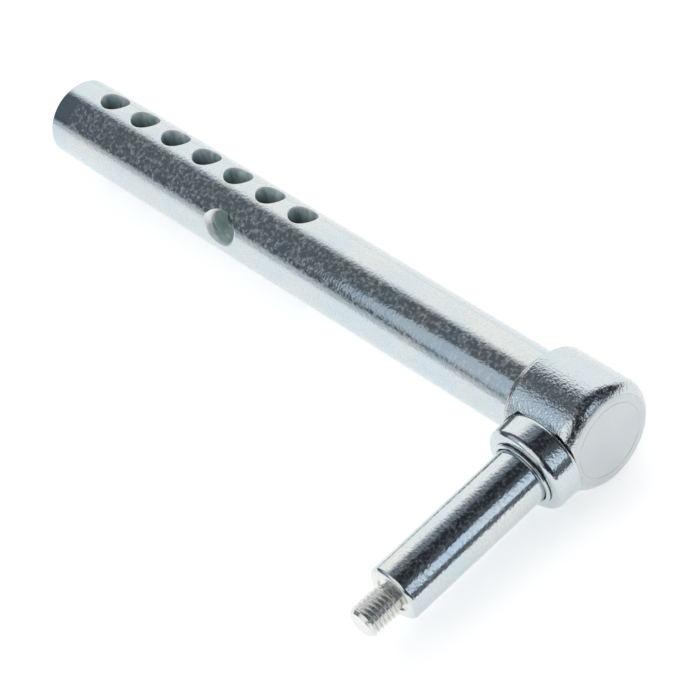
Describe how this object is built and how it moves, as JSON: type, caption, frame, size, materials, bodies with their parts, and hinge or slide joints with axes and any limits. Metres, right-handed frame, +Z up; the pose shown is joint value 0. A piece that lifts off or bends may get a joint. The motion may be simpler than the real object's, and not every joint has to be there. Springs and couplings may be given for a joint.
{
  "type": "adjustable wheel leg with stub axle",
  "caption": "Zinc-plated round leg with a row of pin holes, a cylindrical head and a threaded stub axle at a right angle, for setting the height of a small wheel.",
  "frame": {"origin": "centre of the bounding box's bottom face", "axes": "+X along the bar from its free end to its head, -Y along the axle to its threaded tip, +Z up, square to both"},
  "size_m": [0.319, 0.1422, 0.0474],
  "materials": {
    "zinc_bar": "bright zinc plate over a drawn bar, faint length-wise grain",
    "zinc_head": "bright zinc plate over a turned surface, fine pits",
    "zinc_bar_weld": "zinc plate over a rippled weld",
    "zinc_axle": "bright zinc plate over a turned surface and a rolled thread",
    "zinc_axle_weld": "zinc plate over a ground weld",
    "zinc_collar": "polished bright zinc plate",
    "zinc_ring": "bright zinc plate over a faced surface"
  },
  "bodies": {
    "root": {"adjuster_stem": "zinc_bar", "head_sleeve": "zinc_head", "stem_weld": "zinc_bar_weld", "axle_spindle": "zinc_axle", "axle_root_weld": "zinc_axle_weld", "thrust_collar": "zinc_collar", "shoulder_ring": "zinc_ring"}
  },
  "joints": []
}
